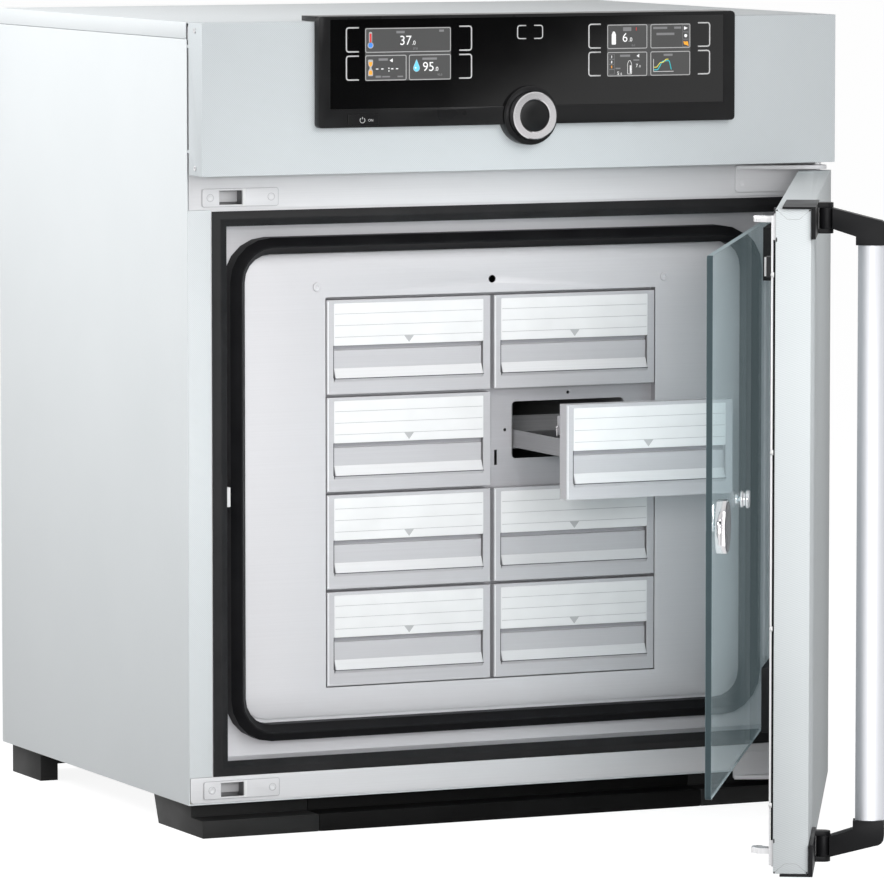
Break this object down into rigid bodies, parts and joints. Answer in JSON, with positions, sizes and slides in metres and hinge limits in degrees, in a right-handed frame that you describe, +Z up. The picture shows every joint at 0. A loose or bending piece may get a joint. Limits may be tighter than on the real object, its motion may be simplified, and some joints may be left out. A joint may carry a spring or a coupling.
{
  "type": "in vitro fertilization incubator",
  "caption": "Bench incubator for embryo culture: insulated steel cabinet with a bank of slide-out drawers behind a glass door and a heated outer door.",
  "frame": {"origin": "on the underside of the front rail between the front feet, in the middle of the cabinet's width and in the plane of its front face", "axes": "+X to the right seen from the front, +Y from the front face to the back, +Z up; the origin's height is the surface the incubator stands on"},
  "size_m": [0.723, 1.1921, 0.8395],
  "materials": {
    "housing_shell": "fine embossed, pale, satin",
    "roof_cover": "fine embossed, pale, satin",
    "header_panel": "fine embossed, pale, satin",
    "back_panel": "plain satin steel",
    "face_frame": "plain satin steel",
    "outer_gasket": "black seal",
    "inner_gasket": "black seal",
    "chamber_liner": "satin steel",
    "insulation": "pale insulating wool",
    "drawer_front_frame": "satin steel",
    "window_plate": "satin steel",
    "drawer_rack": "satin steel",
    "hinge_bracket_top": "satin steel",
    "hinge_bracket_bottom": "satin steel",
    "latch_plate_top": "satin steel",
    "latch_plate_bottom": "satin steel",
    "glass_striker": "white",
    "foot_front_left": "black",
    "foot_front_right": "black",
    "front_rail": "black",
    "rear_foot_rail": "black",
    "cockpit_frame": "black",
    "cockpit_glass": "black, polished",
    "control_knob_ring": "turned metal",
    "control_knob_cap": "black",
    "power_button": "black",
    "power_inlet": "black",
    "fan_motor": "cast",
    "fan_wheel": "black",
    "door_skin": "fine embossed, pale, satin",
    "door_inner_panel": "satin steel with a dark edge",
    "handle_clamp_top": "black",
    "handle_clamp_bottom": "black",
    "handle_arm_top": "black",
    "handle_arm_bottom": "black",
    "handle_bar": "satin, extruded",
    "latch_hook_top": "bright steel",
    "latch_hook_bottom": "bright steel",
    "glass_pane": "clear, green edge",
    "glass_hinge_leaf_top": "black",
    "glass_hinge_leaf_bottom": "black",
    "glass_pull_knob": "polished",
    "glass_latch_knob": "polished, fluted",
    "drawer_front_1": "satin steel",
    "drawer_tray_1": "satin steel",
    "drawer_front_2": "satin steel",
    "drawer_tray_2": "satin steel",
    "drawer_front_3": "satin steel",
    "drawer_tray_3": "satin steel",
    "drawer_front_4": "satin steel",
    "drawer_tray_4": "satin steel",
    "drawer_front_5": "satin steel",
    "drawer_tray_5": "satin steel",
    "drawer_front_6": "satin steel",
    "drawer_tray_6": "satin steel",
    "drawer_front_7": "satin steel",
    "drawer_tray_7": "satin steel",
    "drawer_front_8": "satin steel",
    "drawer_tray_8": "satin steel"
  },
  "bodies": {
    "cabinet": {"housing_shell": "housing_shell", "roof_cover": "roof_cover", "back_panel": "back_panel", "header_panel": "header_panel", "face_frame": "face_frame", "outer_gasket": "outer_gasket", "inner_gasket": "inner_gasket", "chamber_liner": "chamber_liner", "insulation": "insulation", "drawer_front_frame": "drawer_front_frame", "window_plate": "window_plate", "drawer_rack": "drawer_rack", "hinge_bracket_top": "hinge_bracket_top", "hinge_bracket_bottom": "hinge_bracket_bottom", "latch_plate_top": "latch_plate_top", "latch_plate_bottom": "latch_plate_bottom", "glass_striker": "glass_striker", "foot_front_left": "foot_front_left", "foot_front_right": "foot_front_right", "front_rail": "front_rail", "rear_foot_rail": "rear_foot_rail", "cockpit_frame": "cockpit_frame", "cockpit_glass": "cockpit_glass", "power_inlet": "power_inlet", "fan_motor": "fan_motor"},
    "outer_door": {"door_skin": "door_skin", "door_inner_panel": "door_inner_panel", "handle_clamp_top": "handle_clamp_top", "handle_clamp_bottom": "handle_clamp_bottom"},
    "door_handle": {"handle_arm_top": "handle_arm_top", "handle_arm_bottom": "handle_arm_bottom", "handle_bar": "handle_bar"},
    "hook_top": {"latch_hook_top": "latch_hook_top"},
    "hook_bottom": {"latch_hook_bottom": "latch_hook_bottom"},
    "glass_door": {"glass_pane": "glass_pane", "glass_hinge_leaf_top": "glass_hinge_leaf_top", "glass_hinge_leaf_bottom": "glass_hinge_leaf_bottom", "glass_pull_knob": "glass_pull_knob"},
    "latch_knob": {"glass_latch_knob": "glass_latch_knob"},
    "control_ring": {"control_knob_ring": "control_knob_ring"},
    "control_cap": {"control_knob_cap": "control_knob_cap"},
    "power_key": {"power_button": "power_button"},
    "fan": {"fan_wheel": "fan_wheel"},
    "drawer_1": {"drawer_front_1": "drawer_front_1", "drawer_tray_1": "drawer_tray_1"},
    "drawer_2": {"drawer_front_2": "drawer_front_2", "drawer_tray_2": "drawer_tray_2"},
    "drawer_3": {"drawer_front_3": "drawer_front_3", "drawer_tray_3": "drawer_tray_3"},
    "drawer_4": {"drawer_front_4": "drawer_front_4", "drawer_tray_4": "drawer_tray_4"},
    "drawer_5": {"drawer_front_5": "drawer_front_5", "drawer_tray_5": "drawer_tray_5"},
    "drawer_6": {"drawer_front_6": "drawer_front_6", "drawer_tray_6": "drawer_tray_6"},
    "drawer_7": {"drawer_front_7": "drawer_front_7", "drawer_tray_7": "drawer_tray_7"},
    "drawer_8": {"drawer_front_8": "drawer_front_8", "drawer_tray_8": "drawer_tray_8"}
  },
  "joints": [
    {"name": "outer_door_hinge", "type": "hinge", "parent": "cabinet", "child": "outer_door", "pos_m": [0.3465, -0.025, 0.35], "axis": [0, 0, 1], "range_deg": [-61, 34]},
    {"name": "glass_door_hinge", "type": "hinge", "parent": "cabinet", "child": "glass_door", "pos_m": [0.312, 0.006, 0.35], "axis": [0, 0, 1], "range_deg": [-57.67, 32.2]},
    {"name": "handle_turn", "type": "hinge", "parent": "outer_door", "child": "door_handle", "pos_m": [0.07465, -0.56947, 0.35], "axis": [0, 0, 1], "range_deg": [-8, 14]},
    {"name": "hook_top_turn", "type": "hinge", "parent": "outer_door", "child": "hook_top", "pos_m": [0.02293, -0.60254, 0.658], "axis": [0, 0, 1], "range_deg": [-8.01, 14.01]},
    {"name": "hook_bottom_turn", "type": "hinge", "parent": "outer_door", "child": "hook_bottom", "pos_m": [0.02293, -0.60254, 0.047], "axis": [0, 0, 1], "range_deg": [-8.01, 14.01]},
    {"name": "latch_knob_turn", "type": "hinge", "parent": "glass_door", "child": "latch_knob", "pos_m": [0.007, -0.47198, 0.35], "axis": [0.8449, -0.5349, 0], "range_deg": [0, 90]},
    {"name": "control_ring_turn", "type": "hinge", "parent": "cabinet", "child": "control_ring", "pos_m": [0, -0.055, 0.7352], "axis": [0, -1, 0], "continuous": true},
    {"name": "control_cap_push", "type": "slide", "parent": "cabinet", "child": "control_cap", "axis": [0, 1, 0], "range_m": [0, 0.0015], "stiffness_N_per_m": 800},
    {"name": "power_key_push", "type": "slide", "parent": "cabinet", "child": "power_key", "axis": [0, 1, 0], "range_m": [0, 0.001], "stiffness_N_per_m": 1000},
    {"name": "fan_spin", "type": "hinge", "parent": "cabinet", "child": "fan", "pos_m": [0, 0.4418, 0.3514], "axis": [0, 1, 0], "continuous": true},
    {"name": "drawer_1_slide", "type": "slide", "parent": "cabinet", "child": "drawer_1", "axis": [0, -1, 0], "range_m": [0, 0.17]},
    {"name": "drawer_2_slide", "type": "slide", "parent": "cabinet", "child": "drawer_2", "axis": [0, -1, 0], "range_m": [0, 0.17]},
    {"name": "drawer_3_slide", "type": "slide", "parent": "cabinet", "child": "drawer_3", "axis": [0, -1, 0], "range_m": [0, 0.17]},
    {"name": "drawer_4_slide", "type": "slide", "parent": "cabinet", "child": "drawer_4", "axis": [0, -1, 0], "range_m": [0, 0.17]},
    {"name": "drawer_5_slide", "type": "slide", "parent": "cabinet", "child": "drawer_5", "axis": [0, -1, 0], "range_m": [0, 0.17]},
    {"name": "drawer_6_slide", "type": "slide", "parent": "cabinet", "child": "drawer_6", "axis": [0, -1, 0], "range_m": [-0.17701, 0.0988]},
    {"name": "drawer_7_slide", "type": "slide", "parent": "cabinet", "child": "drawer_7", "axis": [0, -1, 0], "range_m": [0, 0.17]},
    {"name": "drawer_8_slide", "type": "slide", "parent": "cabinet", "child": "drawer_8", "axis": [0, -1, 0], "range_m": [0, 0.17]}
  ],
  "couplings": [
    {"joint": "glass_door_hinge", "follows": "outer_door_hinge", "ratio": 0.94525},
    {"joint": "drawer_6_slide", "follows": "outer_door_hinge", "m_per_rad": 0.16625},
    {"joint": "hook_top_turn", "follows": "handle_turn", "ratio": 1},
    {"joint": "hook_bottom_turn", "follows": "handle_turn", "ratio": 1}
  ]
}
